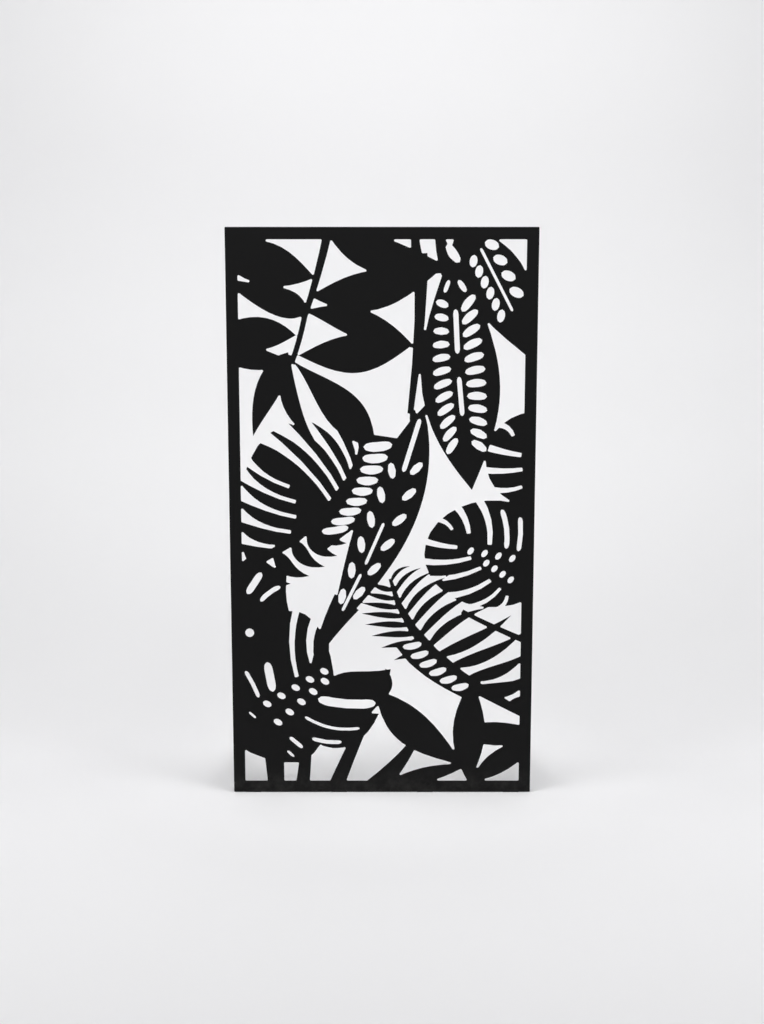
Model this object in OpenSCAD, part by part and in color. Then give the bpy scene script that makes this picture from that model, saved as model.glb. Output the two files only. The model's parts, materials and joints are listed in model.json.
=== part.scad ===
// Free-standing laser-cut steel screen: a pierced sheet on an angle-iron frame,
// held up by two rear feet that swing flat behind the frame for storage.
// Millimetres, +Z up, front of the screen towards -Y, floor at Z = 0,
// origin at the middle of the footprint with the feet open.

/* [Sheet] */
// Width of the laser-cut sheet
panel_w = 960; // [600:10:1300]
// Height of the laser-cut sheet
panel_h = 1800; // [1300:10:2200]
// Thickness of the sheet
sheet_t = 2; // [1:0.5:4]
// Plain border left round the foliage
border = 37; // [33:1:60]
// Radius of the sheet's outer corners
corner_r = 3; // [1:0.5:10]
// Narrowest opening between leaves that is cut; what is tighter stays solid
min_opening = 7; // [4:0.5:8]
// Gap between the sheet and the floor
floor_gap = 2; // [1:0.5:5]

/* [Frame] */
// Leg of the angle section, both ways
angle_leg = 30; // [26:1:40]
// Thickness of the angle section
angle_t = 4; // [3:0.5:5]
// How far the frame sits inside the sheet's edge
frame_inset = 2; // [1.5:0.5:4]
// Weld studs along each stile
stile_studs = 5; // [3:1:7]
// Weld studs along each rail
rail_studs = 3; // [2:1:5]
// Distance from a frame corner to the nearest stud
stud_end = 110; // [90:5:150]

/* [Fixings] */
// Diameter of the weld studs
stud_d = 5; // [4:1:6]
// Length of the weld studs
stud_len = 14; // [13:1:20]
// Room for the stud in the angle's hole, on the radius
stud_clear = 1.2; // [1:0.1:1.5]
// Thickness of the stud washers
washer_t = 1; // [0.8:0.1:1.6]
// Diameter of the holes for fixing the frame to a wall, post or next screen
side_hole_d = 9; // [6:0.5:11]
// Height between the two side holes of a stile
side_hole_gap = 700; // [500:10:750]

/* [Feet] */
// Distance from the pivot to the rear end of the foot
foot_reach = 380; // [280:5:420]
// Thickness of the foot plate
foot_t = 8; // [5:1:10]
// Height of the toe at the rear end
toe_h = 34; // [28:1:60]
// Angle past square at which the foot stops when open
splay = 6; // [0:1:8]
// Length of the pivot tube
tube_len = 360; // [250:5:420]
// Outer diameter of the pivot tube
tube_d = 16; // [15:0.5:20]
// Wall of the pivot tube
tube_wall = 2; // [1.5:0.25:2.5]
// Diameter of the pivot rod
rod_d = 8; // [6:0.5:9]

/* [Pivot brackets] */
// Thickness of the bracket plate
bracket_t = 3; // [2.5:0.5:4]
// Height of the bracket's web
bracket_h = 40; // [34:1:50]
// Diameter of the rivets that hold a bracket
rivet_d = 4.8; // [4:0.2:6]

/* [Glides] */
// Length of a glide under the bottom rail
base_glide_len = 50; // [30:1:80]
// Number of glides under the bottom rail
base_glides_n = 4; // [2:1:6]
// Length of the rubber shoe under a foot's toe
shoe_len = 70; // [40:1:90]
// Thickness of rubber under the toe
shoe_t = 4; // [2:0.5:6]

/* [Hidden] */
$fn = 16;

// Clearances
slide_gap = 0.3;     // between faces that pass each other on different bodies
rod_gap = 0.06;      // rod in its bushes and ears, on the radius
snug_gap = 0.05;     // bush in tube, nut on stud, clip on rod, on the radius
weld_gap = 0.1;      // root gap of the weld between foot plate and tube
through = 1;         // how far a cutter runs past a face

// Frame rectangle
frame_w = panel_w - 2 * frame_inset;
frame_h = panel_h - 2 * frame_inset;
frame_bottom = floor_gap + frame_inset;
frame_mid = frame_bottom + frame_h / 2;
stud_line = angle_t + (angle_leg - angle_t) / 2;

// Pivot, measured from the frame's outer face and the sheet's front face
tube_r = tube_d / 2;
web_gap = 1;
pivot_in = angle_t + bracket_t + web_gap + tube_r;
frame_back = sheet_t + angle_leg;
shoe_w = foot_t + 8;
pivot_back = frame_back + shoe_w / 2 + slide_gap;
pivot_x = frame_w / 2 - pivot_in;
foot_depth = foot_reach * cos(splay) + shoe_w / 2 * sin(splay);
front_y = -(pivot_back + foot_depth) / 2;

// Heights on the pivot, from the floor up
bush_flange = 1.5;
lower_web_z = frame_bottom + angle_t + 6;
lower_ear_z = lower_web_z + bracket_h - bracket_t;
tube_z = lower_ear_z + bracket_t + slide_gap + bush_flange;
upper_ear_z = tube_z + tube_len + bush_flange + slide_gap;

// Bracket
ear_r = tube_r + 3;
ear_front = 18;          // ear and web start this far behind the sheet's front face
stop_start = tube_r + 6; // reach of the stop lip behind the pivot
stop_end = stop_start + 12;
stop_h = 14;
rivet_head_t = 1.3;
rivet_pitch = 18;

powder_black = [0.075, 0.075, 0.08];
zinc = [0.72, 0.73, 0.74];
rubber_black = [0.05, 0.05, 0.05];
nylon_white = [0.86, 0.86, 0.83];

// ---------- Foliage: curves ----------

// Point at t on a rib, a curve drawn by three points
function along(rib, t) = pow(1 - t, 2) * rib[0] + 2 * t * (1 - t) * rib[1] + t * t * rib[2];
// Direction of the rib at t
function heading(rib, t) =
    let (d = (1 - t) * (rib[1] - rib[0]) + t * (rib[2] - rib[1])) d / norm(d);
// Point at distance d to the left of the rib at t
function beside(rib, t, d) =
    let (h = heading(rib, t)) along(rib, t) + d * [-h[1], h[0]];
// Rib from a to b that bows to its left
function bow(a, b, rise = 0) =
    let (d = b - a) [a, (a + b) / 2 + 2 * rise * [-d[1], d[0]] / norm(d), b];
function mix(a, b, t) = a + (b - a) * t;
// Share of a leaf's full width at t; a belly over 1 moves the widest place towards the tip
function swell(t, belly = 1) = sin(180 * pow(t, belly));

// Leaf blade, pointed at both ends, with its own width on each side of the rib
module blade(rib, left, right, belly = 1, steps = 10) {
    polygon(concat(
        [for (i = [0:steps]) beside(rib, i / steps, left * swell(i / steps, belly))],
        [for (i = [steps - 1:-1:1]) beside(rib, i / steps, -right * swell(i / steps, belly))]));
}

// Band that tapers from one width to another, for stems and long cuts
module band(rib, w0, w1, steps = 4) {
    polygon(concat(
        [for (i = [0:steps]) beside(rib, i / steps, mix(w0, w1, i / steps) / 2)],
        [for (i = [steps:-1:0]) beside(rib, i / steps, -mix(w0, w1, i / steps) / 2)]));
}

// Slot along a rib, with tapered round ends that meet in an oval where the rib is short; the
// more it bends, the more points its waist takes
module slot(rib, w) {
    end = min(0.5, w / norm(rib[2] - rib[0]));
    arc = [-90:45:90];
    waist = floor(norm(rib[1] - (rib[0] + rib[2]) / 2) / 6);
    polygon(concat(
        [for (a = arc) beside(rib, end * (1 - cos(a)), -w / 2 * sin(a))],
        [for (i = [1:1:waist]) beside(rib, i / (waist + 1), -w / 2)],
        [for (a = arc) beside(rib, 1 - end * (1 - cos(a)), w / 2 * sin(a))],
        [for (i = [waist:-1:1]) beside(rib, i / (waist + 1), w / 2)]));
}

// Row of slots beside a rib, shorter towards both ends of the row; the lean, as a share of the
// rib, changes from first to last
module ladder(rib, side, from, to, count, inner, outer, lean, w) {
    for (i = [0:count - 1]) {
        k = i / (count - 1);
        t = mix(from, to, k);
        reach = inner + (outer - inner) * (0.45 + 0.55 * sin(180 * mix(0.12, 0.88, k)));
        lift = mix(lean[0], lean[1], k);
        slot(bow(beside(rib, t, side * inner), beside(rib, t - lift, side * reach), side * 2), w);
    }
}

// Leaflets from a rachis to tips that lie along a curve; width and bow change from first to last
module leaflets(rachis, tips, count, w, rise, belly = 0.75) {
    for (i = [0:count - 1]) {
        t = i / (count - 1);
        half = mix(w[0], w[1], t) / 2;
        blade(bow(along(rachis, t), along(tips, t), mix(rise[0], rise[1], t)), half, half, belly, 8);
    }
}

// Solid web between two curves that run the same way
module web(inner, outer, steps = 9) {
    polygon(concat(
        [for (i = [0:steps]) along(inner, i / steps)],
        [for (i = [steps:-1:0]) along(outer, i / steps)]));
}

// Cuts from one curve to another that flare outwards, and so leave pointed leaflets in a web
module flared_cuts(inner, outer, count, w, rise, steps = 5) {
    function half(k) = mix(w[0], w[1], pow(k, 3)) / 2;
    for (i = [0:count - 1]) {
        t = i / (count - 1);
        rib = bow(along(inner, t), along(outer, t), mix(rise[0], rise[1], t));
        polygon(concat(
            [for (j = [0:steps]) beside(rib, j / steps, half(j / steps))],
            [for (j = [steps:-1:0]) beside(rib, j / steps, -half(j / steps))]));
    }
}

// Slots from one curve to another, as between leaflets that grow together; their width changes
// from first to last
module gaps(starts, ends, count, w, rise) {
    for (i = [0:count - 1]) {
        t = i / (count - 1);
        slot(bow(along(starts, t), along(ends, t), rise), mix(w[0], w[1], t));
    }
}

// Split leaf: a round blade, reaching rx[0] to the left and rx[1] to the right, with splits that
// run in from its margin; splits holds one [angle, inner end from the centre, width, bow] for each
module split_leaf(centre, rx, ry, splits) {
    function rim(a, k = 1) = centre + k * [(cos(a) < 0 ? rx[0] : rx[1]) * cos(a), ry * sin(a)];
    difference() {
        polygon([for (a = [0:12:348]) rim(a)]);
        for (s = splits)
            band(bow(rim(s[0], 1.06), centre + s[1], s[3]), s[2] * 1.25, s[2] * 0.7);
    }
}

// ---------- Foliage: plants, drawn for a 960 x 1800 sheet ----------
// Each plant has its solid leaves and, in a module of its own, the holes cut through them

// Lance-leaf spray, top left: blades on one stem
module spray() {
    stem_top = [-165, 1785];
    stem_node = [-238, 1530];
    stem_foot = [-280, 1385];
    band(bow(stem_top, stem_node, 4), 27, 17);
    band(bow(stem_node, stem_foot, 3), 17, 16);
    blade([[-206, 1648], [-345, 1668], [-560, 1748]], 56, 74, 1, 13);
    blade([[-230, 1548], [-330, 1560], [-500, 1650]], 38, 50, 0.65, 13);
    blade([[-266, 1472], [-370, 1488], [-560, 1465]], 52, 50, 1, 13);
    blade([[-272, 1408], [-330, 1360], [-540, 1420]], 24, 46, 1.5, 13);
    blade([[-290, 1420], [-372, 1310], [-402, 1160]], 42, 36, 0.75, 13);
    blade([[-285, 1410], [-315, 1260], [-212, 1150]], 24, 30, 0.9, 13);
    blade([[-178, 1800], [-40, 1740], [228, 1668]], 34, 76, 1, 13);
    blade([[-222, 1592], [-50, 1600], [166, 1660]], 54, 66, 1, 13);
    blade([[-240, 1546], [-60, 1562], [104, 1432]], 26, 62, 1, 13);
    blade([[-258, 1410], [-80, 1425], [85, 1436]], 50, 68, 1, 13);
    blade([[-278, 1395], [-130, 1262], [-20, 1120]], 58, 58, 1.35, 13);
}

// Prayer-plant leaf that hangs tip down, with a ladder of slots each side
hanging_rib = [[222, 1770], [222, 1340], [282, 990]];
module hanging_leaf() {
    blade(hanging_rib, 126, 118, 1.12, 14);
}
module hanging_leaf_holes() {
    ladder(hanging_rib, 1, 0.27, 0.79, 12, 20, 84, [0.06, -0.05], 25);
    ladder(hanging_rib, -1, 0.25, 0.77, 12, 22, 80, [0.02, -0.06], 23);
    slot(bow(along(hanging_rib, 0.26), along(hanging_rib, 0.43), 1), 16);
    slot(bow(along(hanging_rib, 0.52), along(hanging_rib, 0.68), 1), 15);
    slot(bow([200, 1750], [238, 1694], -3), 28);
    slot(bow([206, 1640], [192, 1602]), 13);
    slot(bow([234, 1640], [258, 1604]), 17);
}

// Prayer-plant leaf that fills the top right corner
corner_rib = [[262, 1800], [372, 1630], [470, 1390]];
module corner_leaf() {
    blade(corner_rib, 88, 98, 0.9);
}
module corner_leaf_holes() {
    slot(bow(along(corner_rib, 0.18), along(corner_rib, 0.66)), 9);
    for (i = [0:5]) {
        t = mix(0.20, 0.62, i / 5);
        slot(bow(beside(corner_rib, t, -26), beside(corner_rib, t + 0.07, -50)), 24);
    }
    for (i = [0:3]) {
        t = mix(0.16, 0.52, i / 3);
        slot(bow(beside(corner_rib, t, 20), beside(corner_rib, t + 0.08, 50)), 30);
    }
}

// Petioles that come down from the top border
module top_stems() {
    band([[102, 1790], [98, 1750], [112, 1695]], 22, 34);
    band([[173, 1790], [177, 1745], [208, 1668]], 20, 58);
    band([[276, 1660], [262, 1725], [264, 1790]], 40, 96);
}

// Palm frond, left: long leaflets up to the left, short ones on the lower side
left_rachis = [[-40, 1150], [-110, 900], [-420, 745]];
module left_palm() {
    difference() {
        web(left_rachis, [[-130, 1205], [-450, 1270], [-458, 850]]);
        flared_cuts([[-76, 1080], [-98, 990], [-150, 940]], [[-150, 1235], [-330, 1290], [-470, 1210]],
            5, [13, 92], [-22, -34]);
        flared_cuts([[-290, 1000], [-220, 880], [-375, 760]], [[-470, 1150], [-500, 990], [-480, 780]],
            6, [12, 76], [24, 12]);
    }
    leaflets([[-150, 900], [-220, 868], [-400, 752]], [[-92, 866], [-130, 745], [-290, 690]],
        6, [42, 52], [-24, -22], 0.62);
    band(left_rachis, 34, 26);
    band([[0, 1160], [-30, 960], [-205, 835]], 130, 90);
}
module left_palm_holes() {
    gaps([[-58, 1126], [-66, 985], [-190, 858]], [[32, 1134], [-20, 975], [-106, 872]], 9, [30, 23], -4);
}

// Broad leaf that leans across the middle, with a broken slit and pairs of holes
leaning_rib = [[128, 1250], [35, 890], [-175, 510]];
module leaning_leaf() {
    band([[116, 1720], [130, 1560], [88, 1230]], 46, 18);
    band([[95, 1240], [98, 1200], [116, 1150]], 16, 44);
    band([[-112, 630], [-160, 560], [-188, 500]], 92, 38);
    band([[-188, 510], [-192, 460], [-205, 390]], 38, 60);
    blade(leaning_rib, 90, 86, 0.85, 14);
}
module leaning_leaf_holes() {
    slot(bow(along(leaning_rib, 0.05), along(leaning_rib, 0.28)), 15);
    slot(bow(along(leaning_rib, 0.50), along(leaning_rib, 0.68)), 10);
    slot(bow(along(leaning_rib, 0.72), along(leaning_rib, 0.88)), 10);
    for (i = [0:5]) {
        t = mix(0.26, 0.80, i / 5);
        reach = 56 * swell(t, 0.85);
        slot(bow(beside(leaning_rib, t - 0.04, reach), beside(leaning_rib, t + 0.02, reach / 2)), 24);
        slot(bow(beside(leaning_rib, t, -reach), beside(leaning_rib, t + 0.06, -reach / 2)), 24);
    }
}

// Split leaves: two on the right edge and one that fills the lower left
module split_leaves() {
    split_leaf([350, 785], [216, 216], 172, [
        [102, [-10, 30], 20, 14], [121, [-76, 66], 19, 8], [142, [-128, 78], 14, 8],
        [166, [-112, 22], 17, -4], [187, [-68, -12], 17, -9], [206, [-36, -44], 16, -11],
        [228, [-6, -84], 18, -12], [250, [26, -110], 14, -12], [272, [48, -134], 14, -10]]);
    split_leaf([480, 1086], [156, 60], 150, [
        [136, [-70, 74], 16, 9], [165, [-44, 14], 19, -3], [192, [-40, -31], 17, -4],
        [217, [-40, -86], 15, -6]]);
    split_leaf([-285, 350], [280, 132], 252, [[58, [63, 78], 24, -14], [84, [12, 34], 18, -16]]);
    blade([[-250, 320], [-90, 300], [28, 410]], 70, 96, 0.9);
    blade([[-270, 230], [-130, 190], [-10, 262]], 60, 70, 0.9);
    blade([[-480, 600], [-400, 540], [-300, 560]], 50, 60);
}
module split_leaf_holes() {
    slot(bow([376, 928], [392, 802], 9), 16);
    slot(bow([434, 904], [430, 794], 5), 15);
    for (i = [0:3]) {
        slot(bow([288 + 44 * i, 806 - 8 * i], [272 + 44 * i, 784 - 8 * i]), 17);
        slot(bow([338 + 26 * i, 766 - 18 * i], [322 + 26 * i, 746 - 18 * i]), 17);
    }
    slot(bow([-368, 434], [-350, 335]), 27);
    slot(bow([-438, 404], [-396, 316], 3), 13);
    slot(bow([-206, 312], [-20, 298], -10), 30);
    slot(bow([-248, 252], [-72, 214], -18), 10);
    slot(bow([-226, 180], [-130, 168], -6), 13);
    slot(bow([-298, 184], [-256, 148]), 13);
    slot(bow([-306, 138], [-284, 118]), 9);
    slot(bow([-428, 268], [-406, 248]), 8);
    for (i = [0:4]) {
        slot(bow([-172 - 46 * i, 396 - 27 * i], [-198 - 46 * i, 410 - 27 * i]), 20);
        slot(bow([-170 - 38 * i, 362 - 34 * i], [-196 - 38 * i, 378 - 34 * i]), 20);
    }
}

// Small leaf on the left border
module border_leaf() {
    blade([[-395, 788], [-420, 670], [-295, 595]], 88, 110);
}
module border_leaf_holes() {
    slot(bow([-382, 726], [-428, 656]), 22);
    slot(bow([-322, 680], [-386, 632], -6), 15);
    slot(bow([-436, 530], [-408, 530]), 28);
}

// Palm frond, right: short leaflets to the left, long ones up to the right
module right_palm() {
    rachis = [[26, 705], [60, 540], [245, 385]];
    foot = [[245, 385], [330, 330], [480, 248]];
    band(rachis, 10, 46);
    band(foot, 46, 22);
    band([[85, 500], [130, 420], [300, 335]], 84, 72);
    leaflets([[37, 668], [68, 568], [164, 466]], [[-36, 690], [-120, 585], [38, 440]],
        8, [18, 22], [3, -6]);
    leaflets([[28, 690], [56, 575], [140, 470]], [[88, 746], [190, 740], [330, 610]],
        7, [12, 30], [14, 22]);
    leaflets([[160, 450], [230, 410], [330, 335]], [[410, 586], [470, 500], [480, 400]],
        4, [38, 44], [-14, -22]);
    leaflets([[290, 355], [330, 335], [400, 290]], [[480, 385], [480, 355], [480, 330]],
        2, [22, 30], [-14, -6]);
    band([[255, 600], [340, 552], [480, 494]], 13, 20);
}
module right_palm_holes() {
    gaps([[66, 484], [124, 402], [222, 348]], [[126, 496], [178, 426], [278, 360]], 6, [22, 24], -4);
}

// Blades and stems along the foot of the sheet
module ground_leaves() {
    blade([[-20, 340], [110, 232], [264, 88]], 38, 78, 0.9);
    blade([[-30, 300], [20, 350], [12, 412]], 18, 26);
    blade([[0, 25], [130, 50], [290, 96]], 26, 24);
    blade([[283, 25], [262, 200], [290, 380]], 46, 58);
    blade([[228, 215], [350, 170], [540, 205]], 44, 34);
    blade([[288, 34], [370, 92], [540, 200]], 42, 32);
    band([[92, 150], [50, 85], [-20, 15]], 30, 70);
    band([[299, 25], [297, 60], [285, 110]], 9, 20);
    band([[-343, 20], [-345, 80], [-350, 150]], 52, 64);
    band([[-258, 20], [-250, 80], [-245, 150]], 44, 36);
    band([[-148, 20], [-113, 110], [-66, 215]], 50, 34);
}

module foliage() {
    spray();
    hanging_leaf();
    corner_leaf();
    top_stems();
    left_palm();
    leaning_leaf();
    split_leaves();
    border_leaf();
    right_palm();
    ground_leaves();
}

module leaf_holes() {
    hanging_leaf_holes();
    corner_leaf_holes();
    left_palm_holes();
    leaning_leaf_holes();
    split_leaf_holes();
    border_leaf_holes();
    right_palm_holes();
}

// ---------- Sheet, drawn in its own plane: x across, y up from its lower edge ----------

window_w = panel_w - 2 * border;
window_h = panel_h - 2 * border;

// Fits what is drawn for the 886 x 1726 window to the real one
module fit_window() {
    translate([0, border]) scale([window_w / 886, window_h / 1726]) translate([0, -37]) children();
}

// Openings between the leaves: the leaves grow until gaps too narrow to cut have closed, and
// what is left grows back, with the corners rounded as the beam turns
module openings() {
    grow = min_opening / 2;
    offset(r = grow, $fn = 8) difference() {
        translate([-window_w / 2 + grow, border + grow])
            square([window_w - 2 * grow, window_h - 2 * grow]);
        offset(delta = grow) fit_window() foliage();
    }
}

module sheet_outline() {
    difference() {
        offset(r = corner_r, $fn = 24) translate([-panel_w / 2 + corner_r, corner_r])
            square([panel_w - 2 * corner_r, panel_h - 2 * corner_r]);
        openings();
        fit_window() leaf_holes();
    }
}

// ---------- Placing ----------

// Stands a flat drawing upright: x stays x, y becomes z, its back face at the given depth
// behind the sheet's front face
module upright(back, thickness) {
    translate([0, front_y + back, 0]) rotate([90, 0, 0]) linear_extrude(thickness) children();
}

// Copies to the left, or mirrors to the right, what is drawn for the left side
module on_side(side) {
    if (side == "left") children();
    else mirror([1, 0, 0]) children();
}

// Moves to the left pivot's axis, at floor height
module at_pivot() {
    translate([-pivot_x, front_y + pivot_back, 0]) children();
}

// Turns +X to point along the open foot, which leans outwards by the splay
module foot_direction() {
    rotate([0, 0, 90 + splay]) children();
}

// ---------- Sheet and frame ----------

module face_sheet() {
    color(powder_black) translate([0, 0, floor_gap]) upright(sheet_t, sheet_t) sheet_outline();
}

// Angle section along X with mitred ends: flat leg upwards, standing leg backwards,
// outer face on z = 0 and the face behind the sheet on y = 0
module angle_bar(length) {
    module leg(height, depth) {
        translate([0, depth, 0]) rotate([90, 0, 0]) linear_extrude(depth)
            polygon([[-length / 2, 0], [length / 2, 0],
                [length / 2 - height, height], [-length / 2 + height, height]]);
    }
    leg(angle_leg, angle_t);
    leg(angle_t, angle_leg);
}

function stud_places(length, count) =
    [for (i = [0:count - 1]) mix(-length / 2 + stud_end, length / 2 - stud_end, i / (count - 1))];
rail_stud_end = stud_end + 40;
function rail_stud_places() =
    [for (i = [0:rail_studs - 1]) mix(-frame_w / 2 + rail_stud_end, frame_w / 2 - rail_stud_end,
        i / (rail_studs - 1))];
stud_hole_r = stud_d / 2 + stud_clear;

// Bar with a hole in its flat leg for each stud
module drilled_bar(length, studs) {
    difference() {
        angle_bar(length);
        for (x = studs)
            translate([x, -through, stud_line]) rotate([-90, 0, 0])
                cylinder(r = stud_hole_r, h = angle_t + 2 * through);
    }
}

// A bar in its place: its outer face on the frame's edge, turned about the frame's middle
module on_frame(turn, offset_from_middle) {
    translate([0, front_y + sheet_t, frame_mid]) rotate([0, turn, 0])
        translate([0, 0, -offset_from_middle]) children();
}

leg_middle = sheet_t + angle_t + (angle_leg - angle_t) / 2;

// Rivet places on a bracket: depth behind the sheet's front face, and heights
rivet_depth = (ear_front + frame_back) / 2;
function rivet_heights(web_z) = [for (i = [0:1]) web_z + (bracket_h - rivet_pitch) / 2 + i * rivet_pitch];
rivet_levels = concat(rivet_heights(lower_web_z), rivet_heights(upper_ear_z));

// Short cylinder through the left stile's standing leg, from x outwards-in
module across_leg(from_x, length, r, depth, z) {
    translate([from_x, front_y + depth, z]) rotate([0, 90, 0]) cylinder(r = r, h = length);
}

module stile(side) {
    color(powder_black) on_side(side) difference() {
        on_frame(90, frame_w / 2) drilled_bar(frame_h, stud_places(frame_h, stile_studs));
        for (z = [frame_mid - side_hole_gap / 2, frame_mid + side_hole_gap / 2])
            across_leg(-frame_w / 2 - through, angle_t + 2 * through, side_hole_d / 2, leg_middle, z);
        for (z = rivet_levels)
            across_leg(-frame_w / 2 - through, angle_t + 2 * through, rivet_d / 2 + snug_gap, rivet_depth, z);
    }
}
module left_stile() { stile("left"); }
module right_stile() { stile("right"); }

module top_rail() {
    color(powder_black) on_frame(180, frame_h / 2) drilled_bar(frame_w, rail_stud_places());
}

// Places of the glides along the bottom rail
function glide_places() = [for (i = [0:base_glides_n - 1])
    mix(-frame_w / 2 + 60, frame_w / 2 - 60, i / (base_glides_n - 1))];
glide_peg_r = 2.5;

module bottom_rail() {
    color(powder_black) difference() {
        on_frame(0, frame_h / 2) drilled_bar(frame_w, rail_stud_places());
        for (x = glide_places())
            translate([x, front_y + leg_middle, frame_bottom - through])
                cylinder(r = glide_peg_r + snug_gap, h = angle_t + 2 * through);
    }
}

// ---------- Studs, washers and nuts that hold the sheet ----------

// Puts a part on every stud, pointing backwards from the sheet's back face
module on_studs() {
    for (x = stud_places(frame_h, stile_studs), turn = [90, -90])
        on_frame(turn, frame_w / 2) translate([x, 0, stud_line]) rotate([-90, 0, 0]) children();
    for (x = rail_stud_places(), turn = [0, 180])
        on_frame(turn, frame_h / 2) translate([x, 0, stud_line]) rotate([-90, 0, 0]) children();
}

module weld_studs() {
    flange_t = 0.8;
    color(zinc) on_studs() {
        cylinder(d = stud_d + 1.4, h = flange_t);
        cylinder(d = stud_d, h = stud_len);
    }
}

module stud_washers() {
    washer_r = stud_d * 1.2;
    color(zinc) on_studs() translate([0, 0, angle_t]) difference() {
        cylinder(r = washer_r, h = washer_t);
        translate([0, 0, -through]) cylinder(r = stud_d / 2 + 0.15, h = washer_t + 2 * through);
    }
}

nut_h = 0.85 * stud_d;
module stud_nuts() {
    across_flats = 1.6 * stud_d;
    color(zinc) on_studs() translate([0, 0, angle_t + washer_t]) difference() {
        cylinder(d = across_flats / cos(30), h = nut_h, $fn = 6);
        translate([0, 0, -through]) cylinder(r = stud_d / 2 + snug_gap, h = nut_h + 2 * through);
    }
}

// ---------- Glides under the bottom rail ----------

module base_glides() {
    peg_h = angle_t + 2;
    color(rubber_black) for (x = glide_places()) translate([x, front_y + sheet_t, 0]) {
        translate([-base_glide_len / 2, 0, 0]) cube([base_glide_len, angle_leg, frame_bottom]);
        translate([0, leg_middle - sheet_t, frame_bottom - 1]) cylinder(r = glide_peg_r, h = 1 + peg_h);
    }
}

// ---------- Pivots ----------

// Bracket for the left side, its ear's tube side on z = 0 and its web upwards
module bracket() {
    leg_face = -frame_w / 2 + angle_t;
    lip_face = foot_t / 2 + slide_gap;
    lip_t = bracket_t;
    difference() {
        union() {
            translate([leg_face, front_y + ear_front, 0])
                cube([bracket_t, frame_back - ear_front, bracket_h]);
            linear_extrude(bracket_t) {
                translate([leg_face, front_y + ear_front])
                    square([pivot_in - angle_t + ear_r, pivot_back - ear_front]);
                at_pivot() circle(r = ear_r);
                at_pivot() foot_direction() translate([0, lip_face]) square([stop_end, lip_t]);
            }
            at_pivot() foot_direction() translate([stop_start, lip_face, -stop_h])
                cube([stop_end - stop_start, lip_t, stop_h + bracket_t]);
        }
        at_pivot() translate([0, 0, -through]) cylinder(r = rod_d / 2 + rod_gap, h = bracket_t + 2 * through);
        for (z = rivet_heights(0))
            across_leg(leg_face - through, bracket_t + 2 * through, rivet_d / 2 + snug_gap, rivet_depth, z);
    }
}
module upper_bracket(side) {
    color(powder_black) on_side(side) translate([0, 0, upper_ear_z]) bracket();
}
module lower_bracket(side) {
    color(powder_black) on_side(side) translate([0, 0, lower_ear_z + bracket_t]) mirror([0, 0, 1]) bracket();
}
module left_upper_bracket() { upper_bracket("left"); }
module left_lower_bracket() { lower_bracket("left"); }
module right_upper_bracket() { upper_bracket("right"); }
module right_lower_bracket() { lower_bracket("right"); }

module bracket_rivets() {
    grip = angle_t + bracket_t;
    tail_t = 2;
    outer = -frame_w / 2;
    color(zinc) for (side = ["left", "right"], z = rivet_levels) on_side(side) {
        across_leg(outer - rivet_head_t, rivet_head_t, rivet_d, rivet_depth, z);
        across_leg(outer - rivet_head_t, rivet_head_t + grip + tail_t, rivet_d / 2, rivet_depth, z);
        across_leg(outer + grip, tail_t, rivet_d * 0.7, rivet_depth, z);
    }
}

// Headed rod down through both brackets and the tube
rod_head_t = 3;
clip_t = 2.5;
module pivot_rod(side) {
    rod_bottom = lower_ear_z - clip_t - 2;
    color(zinc) on_side(side) at_pivot() {
        translate([0, 0, rod_bottom]) cylinder(d = rod_d, h = upper_ear_z + bracket_t - rod_bottom + 1);
        translate([0, 0, upper_ear_z + bracket_t]) cylinder(d = rod_d * 1.7, h = rod_head_t);
    }
}
module left_pivot_rod() { pivot_rod("left"); }
module right_pivot_rod() { pivot_rod("right"); }

// Push-on cap clip under the lower bracket
module rod_clip(side) {
    color(zinc) on_side(side) at_pivot() translate([0, 0, lower_ear_z - clip_t]) difference() {
        cylinder(d = rod_d * 1.8, h = clip_t);
        translate([0, 0, -through]) cylinder(r = rod_d / 2 + snug_gap, h = clip_t + 2 * through);
    }
}
module left_rod_clip() { rod_clip("left"); }
module right_rod_clip() { rod_clip("right"); }

tube_bore_r = tube_r - tube_wall;
module pivot_tube(side) {
    color(powder_black) on_side(side) at_pivot() translate([0, 0, tube_z]) difference() {
        cylinder(r = tube_r, h = tube_len);
        translate([0, 0, -through]) cylinder(r = tube_bore_r, h = tube_len + 2 * through);
    }
}
module left_pivot_tube() { pivot_tube("left"); }
module right_pivot_tube() { pivot_tube("right"); }

// Flanged bushes pressed into the ends of the tube
module bush() {
    bush_len = 14;
    difference() {
        union() {
            translate([0, 0, -bush_flange]) cylinder(r = tube_r, h = bush_flange);
            cylinder(r = tube_bore_r - snug_gap, h = bush_len);
        }
        translate([0, 0, -bush_flange - through])
            cylinder(r = rod_d / 2 + rod_gap, h = bush_flange + bush_len + 2 * through);
    }
}
module pivot_bushes(side) {
    color(nylon_white) on_side(side) at_pivot() {
        translate([0, 0, tube_z]) bush();
        translate([0, 0, tube_z + tube_len]) mirror([0, 0, 1]) bush();
    }
}
module left_pivot_bushes() { pivot_bushes("left"); }
module right_pivot_bushes() { pivot_bushes("right"); }

// ---------- Feet ----------

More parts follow.
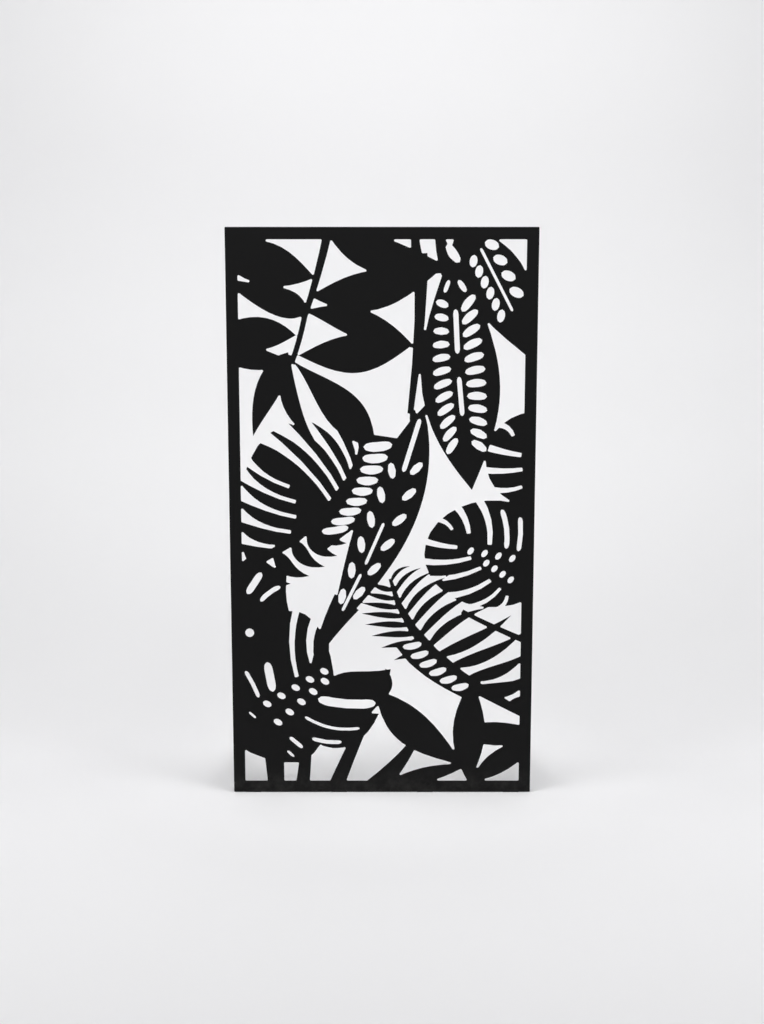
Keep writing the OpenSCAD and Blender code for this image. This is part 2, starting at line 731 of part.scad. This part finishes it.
// Side view of the foot plate: x along the foot from the pivot axis, y up from the floor
module foot_outline() {
    front = tube_r + weld_gap;
    head_w = stop_end - tube_r;
    weld_inset = 2;
    top = tube_z + tube_len - weld_inset;
    heel = tube_z + weld_inset;
    sweep_steps = 14;
    arch_steps = 8;
    toe_front = foot_reach - shoe_len;
    back_sweep = [[front + head_w, top], [front + head_w + 40, toe_h + 40], [foot_reach, toe_h]];
    arch = [[toe_front, shoe_t], [front + 130, heel - 14], [front, heel]];
    polygon(concat(
        [[front, top]],
        [for (i = [0:sweep_steps]) along(back_sweep, i / sweep_steps)],
        [[foot_reach, shoe_t]],
        [for (i = [0:arch_steps]) along(arch, i / arch_steps)]));
}

// Stands a side view of the foot on its pivot, open, with the given thickness
module along_foot(thickness) {
    at_pivot() foot_direction() translate([0, thickness / 2, 0]) rotate([90, 0, 0])
        linear_extrude(thickness) children();
}

module foot_plate(side) {
    color(powder_black) on_side(side) along_foot(foot_t) foot_outline();
}
module left_foot_plate() { foot_plate("left"); }
module right_foot_plate() { foot_plate("right"); }

// Rubber shoe pushed up over the toe's lower edge
module foot_shoe(side) {
    shoe_h = shoe_t + 10;
    color(rubber_black) on_side(side) difference() {
        along_foot(shoe_w) translate([foot_reach - shoe_len, 0]) square([shoe_len, shoe_h]);
        along_foot(foot_t)
            translate([foot_reach - shoe_len - through, shoe_t]) square([shoe_len + 2 * through, shoe_h]);
    }
}
module left_foot_shoe() { foot_shoe("left"); }
module right_foot_shoe() { foot_shoe("right"); }

face_sheet();
left_stile();
right_stile();
top_rail();
bottom_rail();
weld_studs();
stud_washers();
stud_nuts();
base_glides();
left_upper_bracket();
left_lower_bracket();
right_upper_bracket();
right_lower_bracket();
bracket_rivets();
left_pivot_rod();
right_pivot_rod();
left_rod_clip();
right_rod_clip();
left_pivot_tube();
right_pivot_tube();
left_pivot_bushes();
right_pivot_bushes();
left_foot_plate();
right_foot_plate();
left_foot_shoe();
right_foot_shoe();
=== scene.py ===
# %% [markdown]
# # A laser-cut steel screen
#
# The screen is a 2 mm steel sheet, cut into foliage by a laser, on a welded angle frame with two
# feet that swing flat behind it. Its solid pieces come from the CAD model, already in metres and
# in place. This script gives them their finishes, draws the sheet's cuts as true curves, adds the
# welds, and sets up a small studio with a camera where the photographer stood.

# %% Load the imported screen
import json
import math

import bmesh
import bpy
from mathutils import Matrix, Vector


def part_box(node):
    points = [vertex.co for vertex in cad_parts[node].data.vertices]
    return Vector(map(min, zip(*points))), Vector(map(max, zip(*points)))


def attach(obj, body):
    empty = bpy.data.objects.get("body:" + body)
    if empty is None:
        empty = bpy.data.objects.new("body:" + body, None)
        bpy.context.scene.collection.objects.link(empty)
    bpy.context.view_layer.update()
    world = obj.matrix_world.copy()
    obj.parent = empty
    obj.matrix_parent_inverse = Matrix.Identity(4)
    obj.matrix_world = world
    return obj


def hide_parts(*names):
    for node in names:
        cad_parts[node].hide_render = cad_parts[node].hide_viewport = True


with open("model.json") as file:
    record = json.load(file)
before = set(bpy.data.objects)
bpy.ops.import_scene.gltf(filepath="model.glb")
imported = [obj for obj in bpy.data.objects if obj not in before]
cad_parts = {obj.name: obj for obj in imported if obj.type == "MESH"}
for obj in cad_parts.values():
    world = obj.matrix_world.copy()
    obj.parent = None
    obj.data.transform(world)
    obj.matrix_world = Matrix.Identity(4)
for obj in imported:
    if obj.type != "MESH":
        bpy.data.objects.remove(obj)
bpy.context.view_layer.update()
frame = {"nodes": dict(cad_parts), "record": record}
nodes = frame["nodes"]

# %% [markdown]
# ## Sums on sockets
#
# A finish is a small sum: a colour times a mottle, a roughness plus a smudge. Blender wants a Math
# node for each step. The class below lets the script write the sum itself: a Wire stands for an
# output socket, and adding, subtracting or multiplying it adds the Math node. Python's reflected
# forms are there too, so that 1 - mask works.

# %% A socket that can be used in sums
class Wire:
    def __init__(self, owner, socket):
        self.owner = owner
        self.socket = socket

    def math(self, operation, first, second):
        return self.owner.node("ShaderNodeMath", {"operation": operation}, {0: first, 1: second})

    def __add__(self, other):
        return self.math("ADD", self, other)

    def __sub__(self, other):
        return self.math("SUBTRACT", self, other)

    def __rsub__(self, other):
        return self.math("SUBTRACT", other, self)

    def __mul__(self, other):
        return self.math("MULTIPLY", self, other)

    __radd__ = __add__
    __rmul__ = __mul__


# %% [markdown]
# ## A node tree
#
# The tree has one method, node, that makes any node. Its settings are set first, because they can
# change which sockets it has, and a colour ramp's stops are a setting too. Then its inputs are
# given values or links. The studio's world has a tree of its own, so this part is kept apart from
# the materials. Both ask which rays show the backdrop: those from the camera, and those that a
# mirror or a glass sends on. The rest only carry light.

# %% Any node from one method
class Tree:
    def __init__(self, nodes_and_links):
        self.tree = nodes_and_links

    def node(self, kind, settings, inputs, output=0):
        made = self.tree.nodes.new(kind)
        for name, value in settings.items():
            if name == "stops":
                self.set_stops(made.color_ramp, value)
            else:
                setattr(made, name, value)
        for name, value in inputs.items():
            self.feed(made.inputs[name], value)
        return Wire(self, made.outputs[output])

    def set_stops(self, ramp, stops):
        for element, (position, colour) in zip(ramp.elements, stops):
            element.position, element.color = position, colour

    def feed(self, socket, value):
        if isinstance(value, Wire):
            self.tree.links.new(value.socket, socket)
        else:
            socket.default_value = value

    def shows_backdrop(self):
        flags = [self.node("ShaderNodeLightPath", {}, {}, flag)
                 for flag in ("Is Camera Ray", "Is Glossy Ray", "Is Transmission Ray")]
        return self.node("ShaderNodeClamp", {}, {"Value": flags[0] + flags[1] + flags[2]})


# %% [markdown]
# ## A finish
#
# Every material here is a Principled shader with a few textures in front of it. The textures read
# the object's own coordinates. A piece's object sits at the origin, so these are metres on the
# real screen, and they travel with a foot when it swings. A Mix node has sockets for numbers,
# vectors and colours under the same names, so its colours are found by their places.

# %% Materials as small programs
MIX_FIRST, MIX_SECOND, MIX_RESULT = 6, 7, 2


class Finish(Tree):
    def __init__(self, name):
        self.material = bpy.data.materials.new(name)
        self.material.use_nodes = True
        super().__init__(self.material.node_tree)
        self.shader = self.tree.nodes["Principled BSDF"]
        self.place = self.node("ShaderNodeTexCoord", {}, {}, "Object")

    def surface(self, **values):
        for name, value in values.items():
            self.feed(self.shader.inputs[name.replace("_", " ")], value)

    def noise(self, scale, detail=2.0, roughness=0.5):
        inputs = {"Vector": self.place, "Scale": scale, "Detail": detail, "Roughness": roughness}
        return self.node("ShaderNodeTexNoise", {}, inputs, 0)

    def ramp(self, value, low, high, out_low=0.0, out_high=1.0):
        inputs = {"Value": value, "From Min": low, "From Max": high,
                  "To Min": out_low, "To Max": out_high}
        return self.node("ShaderNodeMapRange", {"interpolation_type": "SMOOTHSTEP"}, inputs, 0)

    def mix(self, factor, first, second):
        inputs = {"Factor": factor, MIX_FIRST: first, MIX_SECOND: second}
        return self.node("ShaderNodeMix", {"data_type": "RGBA"}, inputs, MIX_RESULT)

    def tint(self, colour, factor):
        return self.node("ShaderNodeVectorMath", {"operation": "SCALE"}, {0: colour, 3: factor})

    def bump(self, height, distance, normal=None):
        inputs = {"Height": height, "Distance": distance}
        if normal is not None:
            inputs["Normal"] = normal
        return self.node("ShaderNodeBump", {}, inputs, 0)


print("a finish can add, subtract and multiply its sockets")

# %% [markdown]
# ## Black powder coat
#
# Powder is sprayed on dry and melts in an oven. Seen close, it has two textures: a fine sandy
# grain of under a millimetre, and the slow waves called orange peel, about five millimetres
# apart. It lies a little thinner over a laser-cut edge, so an edge looks slightly greyer. A
# Bevel node rounds every edge in the shading, and where its normal leaves the true one there is
# an edge: that difference is the mask for the thin coat. Dust settles in a soft film low down.
# This coat is a matt one, so its specular level is low.

# %% Powder coat
EDGE_RADIUS = 0.0009
PEEL_DEPTH = 0.00022
GRAIN_DEPTH = 0.00009
THIN_COAT = (0.030, 0.030, 0.031, 1.0)
FLOOR_DUST = (0.060, 0.058, 0.055, 1.0)


def powder_coat(name, colour, dust_height):
    f = Finish(name)
    rounded = f.node("ShaderNodeBevel", {"samples": 4}, {"Radius": EDGE_RADIUS})
    true_normal = f.node("ShaderNodeNewGeometry", {}, {}, "Normal")
    both = {0: rounded, 1: true_normal}
    turn = f.node("ShaderNodeVectorMath", {"operation": "DOT_PRODUCT"}, both, "Value")
    patchy = f.noise(45.0, 4.0, 0.65)
    edge = f.ramp(1.0 - turn, 0.02, 0.25) * f.ramp(patchy, 0.35, 0.7, 0.35, 1.0)
    grain = f.noise(1500.0, 2.0, 0.6)
    peel = f.noise(210.0, 1.0, 0.4)
    cloud = f.noise(3.2, 3.0, 0.55)
    height = f.node("ShaderNodeSeparateXYZ", {}, {0: f.place}, "Z")
    film = f.ramp(height, dust_height, 0.0) * f.ramp(f.noise(26.0, 5.0, 0.7), 0.3, 0.75)
    mottle = 0.86 + 0.28 * cloud
    body = f.tint(colour, mottle + 0.22 * grain)
    thin = f.mix(edge * 0.55, body, THIN_COAT)
    dusty = f.mix(film * 0.35, thin, FLOOR_DUST)
    rough = 0.26 + 0.08 * cloud + 0.08 * grain - 0.06 * edge + 0.16 * film
    waves = f.bump(peel, PEEL_DEPTH, rounded)
    f.surface(Base_Color=dusty, Roughness=rough, Normal=f.bump(grain, GRAIN_DEPTH, waves))
    f.surface(Specular_IOR_Level=0.13)
    return f.material


screen_black = powder_coat("powder_coat_screen", (0.0030, 0.0030, 0.0031), 0.10)
foot_black = powder_coat("powder_coat_feet", (0.0034, 0.0034, 0.0035), 0.16)
print("powder coats:", screen_black.name, foot_black.name)

# %% [markdown]
# ## Zinc, rubber and nylon
#
# The studs, nuts, rivets and rods are zinc plated: a dull, faintly blue metal with a cloudy
# bloom. The studs are threaded, which the CAD model leaves out, so a fine saw of ridges along
# their axis, one every 0.8 mm, goes into the bump. Rubber is almost black with a bloom of its
# own and picks up floor dust, and nylon is a warm white that lets a little light in.

# %% Zinc plate, plain and threaded
THREADS_PER_METRE = 1250.0
ZINC_DEPTH = 0.00025


def zinc_plate(name, threaded):
    f = Finish(name)
    bloom = f.noise(90.0, 4.0, 0.6)
    spangle = f.noise(900.0, 2.0, 0.5)
    stops = [(0.30, (0.38, 0.39, 0.40, 1.0)), (0.72, (0.60, 0.61, 0.63, 1.0))]
    grey = f.node("ShaderNodeValToRGB", {"stops": stops}, {0: bloom})
    rough = 0.30 + 0.22 * bloom + 0.06 * spangle
    height = spangle * 0.25
    if threaded:
        depth = f.node("ShaderNodeSeparateXYZ", {}, {0: f.place}, "Y")
        turns = depth * THREADS_PER_METRE
        saw = f.node("ShaderNodeMath", {"operation": "PINGPONG"}, {0: turns, 1: 0.5})
        height = height + saw * 2.0
    f.surface(Base_Color=grey, Metallic=1.0, Roughness=rough, Normal=f.bump(height, ZINC_DEPTH))
    return f.material


zinc = zinc_plate("zinc_plate", False)
threaded_zinc = zinc_plate("zinc_thread", True)
print("zinc:", zinc.name, threaded_zinc.name)


# %% Rubber and nylon
RUBBER_DUST = (0.09, 0.085, 0.08, 1.0)
NYLON_SHADES = (0.66, 0.64, 0.57, 1.0), (0.78, 0.77, 0.72, 1.0)


def rubber_moulding(name):
    f = Finish(name)
    bloom = f.noise(60.0, 5.0, 0.65)
    pebble = f.noise(1100.0, 1.0, 0.5)
    height = f.node("ShaderNodeSeparateXYZ", {}, {0: f.place}, "Z")
    dust = f.ramp(height, 0.012, 0.0) * f.ramp(bloom, 0.35, 0.7)
    clean = f.tint((0.013, 0.013, 0.013), 0.7 + 0.6 * bloom)
    colour = f.mix(dust * 0.5, clean, RUBBER_DUST)
    f.surface(Base_Color=colour, Roughness=0.72 + 0.16 * bloom, Normal=f.bump(pebble, 0.00012))
    return f.material


def nylon_bush(name):
    f = Finish(name)
    cloud = f.noise(120.0, 3.0, 0.5)
    turned = f.noise(1600.0, 1.0, 0.4)
    colour = f.mix(cloud, *NYLON_SHADES)
    f.surface(Base_Color=colour, Roughness=0.34 + 0.14 * cloud, Normal=f.bump(turned, 0.00005))
    f.surface(Subsurface_Weight=0.08, Subsurface_Radius=(0.004, 0.003, 0.002))
    return f.material


rubber = rubber_moulding("rubber")
nylon = nylon_bush("nylon")
print("mouldings:", rubber.name, nylon.name)

# %% [markdown]
# ## Each CAD piece gets its finish
#
# The record says which slot a piece belongs to. The feet have a powder coat of their own, because
# they were sprayed apart, and the studs are the one threaded piece.

# %% Dress the CAD pieces
slot_of = {entry["node"]: entry["material_slot"] for entry in frame["record"]["subparts"]}
finish_of = {"powder_coat": screen_black, "zinc": zinc, "rubber": rubber, "nylon": nylon}


def dress(name, piece):
    finish = finish_of[slot_of[name]]
    if name == "weld_studs":
        finish = threaded_zinc
    elif finish is screen_black and ("foot" in name or "tube" in name):
        finish = foot_black
    piece.data.materials.clear()
    piece.data.materials.append(finish)
    return finish.name


for name, piece in nodes.items():
    print(name, "->", dress(name, piece))

# %% [markdown]
# ## A smoother cut
#
# The CAD sheet draws every cut with few straight pieces, because its triangles are counted. A
# laser follows a true curve, and close up the difference shows. So this piece stands for the
# CAD sheet: it has the same outlines, with the same points, and a curve run through them. A turn
# of more than 50 degrees is a real corner, such as a leaf tip, and stays sharp. First, the
# outlines: an edge of the CAD sheet's front is on one if only one of its two faces lies in front.
# Points less than 0.1 mm apart say nothing about the curve and become one.

# %% Outlines of the cuts
TOO_CLOSE = 0.0001
SAME_DEPTH = 0.00001


def lies_at(face, depth):
    return all(abs(v.co.y - depth) < SAME_DEPTH for v in face.verts)


def front_outlines(mesh):
    sheet = bmesh.new()
    sheet.from_mesh(mesh)
    bmesh.ops.remove_doubles(sheet, verts=sheet.verts, dist=TOO_CLOSE)
    front = min(v.co.y for v in sheet.verts)
    beside = {}
    for edge in sheet.edges:
        if sorted(lies_at(face, front) for face in edge.link_faces) == [False, True]:
            a, b = edge.verts
            beside.setdefault(a, []).append(b)
            beside.setdefault(b, []).append(a)
    outlines = []
    while beside:
        start = next(iter(beside))
        outline, here = [], start
        while here in beside:
            outline.append(Vector((here.co.x, here.co.z)))
            here = next((v for v in beside.pop(here) if v in beside), start)
        outlines.append(outline)
    sheet.free()
    return outlines, front


outlines, sheet_front = front_outlines(nodes["face_sheet"].data)
print("outlines:", len(outlines), "points:", sum(len(outline) for outline in outlines))

# %% [markdown]
# ## A curve through the points
#
# Between two neighbouring points runs a Hermite curve, which needs a direction at both ends. At a
# smooth point the direction is shared by the two pieces that meet there, and the longer piece
# has more say, so a straight edge stays straight where it runs into a small round corner. A piece
# gets as many points as keep each step's turn to about 8 degrees and its sag to about 0.1 mm.

# %% Smooth outlines
SHARP_TURN = math.radians(50.0)
TURN_PER_STEP = math.radians(8.0)
SAG = 0.0001


def directions(outline):
    pairs = []
    for i, here in enumerate(outline):
        into, out_of = here - outline[i - 1], outline[(i + 1) % len(outline)] - here
        if into.angle(out_of) > SHARP_TURN:
            pairs.append((into.normalized(), out_of.normalized()))
        else:
            shared = (into * into.length + out_of * out_of.length).normalized()
            pairs.append((shared, shared))
    return pairs


def hermite(a, leave, b, arrive, t):
    return (a * (2 * t ** 3 - 3 * t ** 2 + 1) + leave * (t ** 3 - 2 * t ** 2 + t)
            + b * (3 * t ** 2 - 2 * t ** 3) + arrive * (t ** 3 - t ** 2))


def smooth_outline(outline):
    heading = directions(outline)
    smooth = []
    for i, a in enumerate(outline):
        j = (i + 1) % len(outline)
        chord = outline[j] - a
        leave, arrive = heading[i][1] * chord.length, heading[j][0] * chord.length
        turn = leave.angle(chord) + arrive.angle(chord)
        bulge = chord.length * turn / 16.0
        steps = max(1, round(turn / TURN_PER_STEP), round(math.sqrt(bulge / SAG)))
        smooth += [hermite(a, leave, outline[j], arrive, k / steps) for k in range(steps)]
    return smooth


smooth_outlines = [smooth_outline(outline) for outline in outlines]
print("points after smoothing:", sum(len(outline) for outline in smooth_outlines))

# %% [markdown]
# ## The sheet itself
#
# The outlines are filled as one flat face with holes, and pushed back by the sheet's thickness.
# Walls of a cut are shaded smooth along the cut, and stay crisp against the front and back. The
# helper that turns a finished mesh into an object serves the welds as well.

# %% From a mesh to a piece
def add_piece(name, mesh, finish):
    data = bpy.data.meshes.new(name)
    mesh.to_mesh(data)
    mesh.free()
    for polygon in data.polygons:
        polygon.use_smooth = True
    data.materials.append(finish)
    piece = bpy.data.objects.new(name, data)
    bpy.context.scene.collection.objects.link(piece)
    print(name, "faces:", len(data.polygons))
    return piece


# %% A flat face with holes, and its walls
CREASE = math.radians(35.0)


def cut_sheet(name, loops, front, back):
    sheet = bmesh.new()
    for loop in loops:
        corners = [sheet.verts.new((p.x, front, p.y)) for p in loop]
        for a, b in zip(corners, corners[1:] + corners[:1]):
            sheet.edges.new((a, b))
    bmesh.ops.triangle_fill(sheet, use_beauty=True, use_dissolve=False, edges=sheet.edges,
                            normal=(0.0, -1.0, 0.0))
    pushed = bmesh.ops.extrude_face_region(sheet, geom=sheet.faces[:])
    for part in pushed["geom"]:
        if isinstance(part, bmesh.types.BMVert):
            part.co.y = back
    bmesh.ops.recalc_face_normals(sheet, faces=sheet.faces)
    return add_piece(name, sheet, screen_black)


# %% Cut sheet
sheet_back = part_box("face_sheet")[1][1]
cut_foliage = cut_sheet("cut_foliage_sheet", smooth_outlines, sheet_front, sheet_back)
cut_foliage.data.set_sharp_from_angle(angle=CREASE)
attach(cut_foliage, "screen")
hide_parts("face_sheet")
print("thickness:", round(sheet_back - sheet_front, 6), "m")

# %% [markdown]
# ## Weld beads
#
# A welder leaves a row of overlapping puddles, like a fallen stack of coins. One bead is a ring
# swept along a line, whose radius swells once for every puddle and tapers almost to nothing at
# both ends. The swell and a slight wobble come from sines, so every run of the script gives the
# same bead.

# %% One bead as rings along a line
PUDDLE = 0.0028
RING_POINTS = 10


def bead_rings(start, end, radius):
    along = end - start
    count = max(8, round(along.length / PUDDLE * 4))
    side = along.cross(Vector((0.31, 0.17, 0.93))).normalized()
    other = along.cross(side).normalized()
    for i in range(count + 1):
        t = i / count
        puddle = abs(math.sin(math.pi * t * along.length / PUDDLE))
        fade = min(1.0, 6.0 * t + 0.05, 6.0 * (1.0 - t) + 0.05)
        r = radius * fade * (0.82 + 0.18 * puddle + 0.05 * math.sin(37.0 * t))
        centre = start + along * t
        yield [centre + (side * math.cos(a) + other * math.sin(a)) * r
               for a in (math.tau * k / RING_POINTS for k in range(RING_POINTS))]


def add_bead(mesh, start, end, radius):
    rings = [[mesh.verts.new(point) for point in ring] for ring in bead_rings(start, end, radius)]
    for lower, upper in zip(rings, rings[1:]):
        for k in range(RING_POINTS):
            after = (k + 1) % RING_POINTS
            mesh.faces.new((lower[k], lower[after], upper[after], upper[k]))
    mesh.faces.new(rings[0][::-1])
    mesh.faces.new(rings[-1])


def weld_piece(name, lines, radius, body, finish):
    mesh = bmesh.new()
    for start, end in lines:
        add_bead(mesh, start, end, radius)
    bmesh.ops.recalc_face_normals(mesh, faces=mesh.faces)
    piece = add_piece(name, mesh, finish)
    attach(piece, body)
    print("  beads:", len(lines), "on", body)


# %% [markdown]
# ## Where the welds are
#
# A foot plate meets its tube edge on, and is stitched on both sides: five short beads a side,
# which pull the plate less than one long one. The four mitres of the frame are welded on the
# inside, across the flat legs and up the corner between the standing legs.

# %% Stitches between foot plate and pivot tube
SPLAY = math.radians(6.0)
STITCHES = 5
STITCH = 0.040
FIRST_STITCH = 0.012
BEAD_BEHIND_TUBE = 0.0086
BEAD_BESIDE_PLATE = 0.0047


def foot_stitches(side):
    low, high = (Vector(corner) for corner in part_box(side + "_pivot_tube"))
    axis = (low + high) / 2
    lean = SPLAY if side == "left" else -SPLAY
    outward = Matrix.Rotation(lean, 3, "Z") @ Vector((0.0, 1.0, 0.0))
    across = Matrix.Rotation(lean, 3, "Z") @ Vector((1.0, 0.0, 0.0))
    pitch = (high.z - low.z - 2 * FIRST_STITCH - STITCH) / (STITCHES - 1)
    lines = []
    for face in (-1, 1):
        x, y, _ = axis + outward * BEAD_BEHIND_TUBE + across * (BEAD_BESIDE_PLATE * face)
        for i in range(STITCHES):
            z = low.z + FIRST_STITCH + pitch * i
            lines.append((Vector((x, y, z)), Vector((x, y, z + STITCH))))
    return lines


for side in ("left", "right"):
    weld_piece(side + "_foot_welds", foot_stitches(side), 0.0024, side + "_foot", foot_black)


# %% Beads inside the frame's mitres
ANGLE_WALL = 0.004
ANGLE_LEG = 0.030
CLEAR = 0.001
IN_THE_CORNER = 0.0004


def mitre_lines():
    left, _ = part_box("left_stile")
    _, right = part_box("right_stile")
    bottom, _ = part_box("bottom_rail")
    _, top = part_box("top_rail")
    back = bottom[1] + ANGLE_WALL
    deep = bottom[1] + ANGLE_LEG - 2 * CLEAR
    lines = []
    for x, inward in ((left[0], 1), (right[0], -1)):
        for z, upward in ((bottom[2], 1), (top[2], -1)):
            corner, diagonal = Vector((x, 0.0, z)), Vector((inward, 0.0, upward))
            for first, last, from_y, to_y in (
                    (ANGLE_WALL + CLEAR, ANGLE_LEG - CLEAR, back, back),
                    (ANGLE_WALL + IN_THE_CORNER, ANGLE_WALL + IN_THE_CORNER, back + CLEAR, deep)):
                lines.append((corner + diagonal * first + Vector((0.0, from_y, 0.0)),
                              corner + diagonal * last + Vector((0.0, to_y, 0.0))))
    return lines


weld_piece("frame_welds", mitre_lines(), 0.0016, "screen", screen_black)

# %% [markdown]
# ## The studio
#
# The photograph has a pale paper sweep: a floor that curves up into the wall not far behind the
# screen, which leaves one slightly darker band where it bends. The sweep is one curved sheet,
# flat as far back as the feet reach, and it ends in front a little below the picture's lower
# edge. Its shader turns transparent on the back, so the screen can be looked at from behind,
# through its own backdrop. A wide floor just below it is there for such views: the light passes
# it by, and only the camera sees it.

# %% Paper sweep
SWEEP_FRONT = -2.0
SWEEP_FLAT = 0.24
SWEEP_RADIUS = 1.25
SWEEP_TOP = 6.5
SWEEP_HALF_WIDTH = 6.0
BEND_STEPS = 24
FLOOR_HALF = 9.0
FLOOR_BELOW = 0.002


def sweep_profile():
    points = [(SWEEP_FRONT, 0.0), (SWEEP_FLAT - 0.1, 0.0)]
    for i in range(BEND_STEPS + 1):
        a = math.radians(90.0 * i / BEND_STEPS)
        y, z = SWEEP_RADIUS * math.sin(a), SWEEP_RADIUS * (1.0 - math.cos(a))
        points.append((SWEEP_FLAT + y, z))
    points.append((SWEEP_FLAT + SWEEP_RADIUS, SWEEP_TOP))
    return points


def strip(name, profile, half_width):
    vertices = [(x, y, z) for y, z in profile for x in (-half_width, half_width)]
    faces = [(2 * i, 2 * i + 1, 2 * i + 3, 2 * i + 2) for i in range(len(profile) - 1)]
    data = bpy.data.meshes.new(name)
    data.from_pydata(vertices, [], faces)
    for polygon in data.polygons:
        polygon.use_smooth = True
    sheet = bpy.data.objects.new(name, data)
    bpy.context.scene.collection.objects.link(sheet)
    return sheet


def wide_floor():
    edges = [(-FLOOR_HALF, -FLOOR_BELOW), (FLOOR_HALF, -FLOOR_BELOW)]
    floor = strip("wide_floor", edges, FLOOR_HALF)
    floor.visible_diffuse = floor.visible_glossy = floor.visible_shadow = False
    return floor


print("the sweep bends from", SWEEP_FLAT, "m behind the middle of the screen")

# %% [markdown]
# ## Paper that melts into the room
#
# The paper is matt and very slightly mottled. The bend and the shadow behind the sheet come out
# darker than in the photograph, where light reaches them from all round, so they are shown a
# little lifted, to the camera and in mirrors. Rays that only carry light don't meet the lift, so
# it lights nothing. Far from the screen the paper fades into the room's own tone, so that no edge
# of the studio shows in a side view.

# %% Paper finish
ROOM_TONE = (0.804, 0.808, 0.820, 1.0)
PAPER_SHADES = (0.890, 0.888, 0.900, 1.0), (0.905, 0.903, 0.915, 1.0)
SHADOW_MIDDLE = (0.0, 0.08, 0.0)
SHADOW_LIFT = 0.085
BEND_LIFT = 0.05
WALL_LIFT = 0.11
SCREEN_MIDDLE = (0.0, 0.0, 0.9)
FADE_FROM, FADE_TO = 2.5, 3.6


def distance(f, point):
    ends = {0: f.place, 1: point}
    return f.node("ShaderNodeVectorMath", {"operation": "DISTANCE"}, ends, "Value")


def studio_paper(name, one_sided, floor_lift):
    f = Finish(name)
    depth = f.node("ShaderNodeSeparateXYZ", {}, {0: f.place}, "Y")
    rise = f.node("ShaderNodeSeparateXYZ", {}, {0: f.place}, "Z")
    wall = f.ramp(depth, -0.2, 0.3) * f.ramp(rise, 2.3, 1.2)
    wall = wall * f.ramp(rise, 0.15, 1.0, BEND_LIFT, WALL_LIFT)
    shadow = f.ramp(distance(f, SHADOW_MIDDLE), 1.0, 0.4) * SHADOW_LIFT
    seen = f.shows_backdrop()
    lift = seen * (wall + shadow + floor_lift * f.ramp(depth, 0.1, 0.3))
    f.surface(Base_Color=f.mix(f.noise(0.8, 1.0), *PAPER_SHADES), Roughness=0.9,
              Emission_Color=f.tint((1.0, 1.0, 1.0), lift), Emission_Strength=1.0)
    near = Wire(f, f.shader.outputs["BSDF"])
    haze = f.node("ShaderNodeEmission", {}, {"Color": ROOM_TONE})
    fade = seen * f.ramp(distance(f, SCREEN_MIDDLE), FADE_FROM, FADE_TO)
    sheet = f.node("ShaderNodeMixShader", {}, {0: fade, 1: near, 2: haze})
    if one_sided:
        behind = f.node("ShaderNodeNewGeometry", {}, {}, "Backfacing")
        clear = f.node("ShaderNodeBsdfTransparent", {}, {})
        sheet = f.node("ShaderNodeMixShader", {}, {0: behind, 1: sheet, 2: clear})
    f.feed(f.tree.nodes["Material Output"].inputs["Surface"], sheet)
    return f.material


for sheet, finish in ((strip("paper_sweep", sweep_profile(), SWEEP_HALF_WIDTH),
                       studio_paper("studio_paper", True, 0.0)),
                      (wide_floor(), studio_paper("studio_floor", False, 0.06))):
    sheet.data.materials.append(finish)
    print(sheet.name, "wears", finish.name)


# %% [markdown]
# ## Softboxes and room light
#
# Three softboxes light the screen, one above and one on each side, all in front of it. The room
# adds a faint light of its own, and shows its pale tone to the camera and in mirrors.

# %% Softboxes
def softbox(name, place, aim, size, watts):
    lamp = bpy.data.lights.new(name, "AREA")
    lamp.shape = "RECTANGLE"
    lamp.size, lamp.size_y = size
    lamp.energy = watts
    box = bpy.data.objects.new(name, lamp)
    box.location = place
    box.rotation_euler = (Vector(aim) - Vector(place)).to_track_quat("-Z", "Y").to_euler()
    bpy.context.scene.collection.objects.link(box)
    print(name, "watts:", watts)


softbox("softbox_above", (0.0, -0.95, 3.75), (0.0, 0.1, 0.0), (3.8, 2.2), 95.0)
softbox("softbox_left", (-3.4, -2.2, 2.6), (0.0, 0.4, 1.0), (2.2, 2.4), 44.0)
softbox("softbox_right", (3.4, -2.2, 2.6), (0.0, 0.4, 1.0), (2.2, 2.4), 44.0)


# %% Room light
ROOM_GLOW = 0.073


def room_light():
    world = bpy.data.worlds.new("studio_room")
    bpy.context.scene.world = world
    world.use_nodes = True
    room = Tree(world.node_tree)
    seen = room.shows_backdrop()
    background = world.node_tree.nodes["Background"]
    room.feed(background.inputs["Color"], ROOM_TONE)
    room.feed(background.inputs["Strength"], ROOM_GLOW + (1.0 - ROOM_GLOW) * seen)
    return world


print("world:", room_light().name)

# %% [markdown]
# ## The camera
#
# The photograph was taken from eye height, looking a little down. Its position was worked out
# from the four corners of the sheet: a 50 mm lens on a 36 mm frame, 4.42 m in front of the sheet.

# %% Camera
CAMERA_AWAY = 4.416
EYE_HEIGHT = 1.635
LOOK_DOWN = 9.17


def photograph_camera():
    lens = bpy.data.cameras.new("photograph")
    lens.lens = 50.0
    lens.sensor_fit = "VERTICAL"
    lens.sensor_height = 36.0
    camera = bpy.data.objects.new("photograph", lens)
    camera.location = (0.0, sheet_front - CAMERA_AWAY, EYE_HEIGHT)
    camera.rotation_euler = (math.radians(90.0 - LOOK_DOWN), 0.0, 0.0)
    bpy.context.scene.collection.objects.link(camera)
    bpy.context.scene.camera = camera
    return camera


print("camera at", tuple(photograph_camera().location))
bpy.context.scene.view_settings.view_transform = "Standard"

# %% Update the scene
bpy.context.view_layer.update()
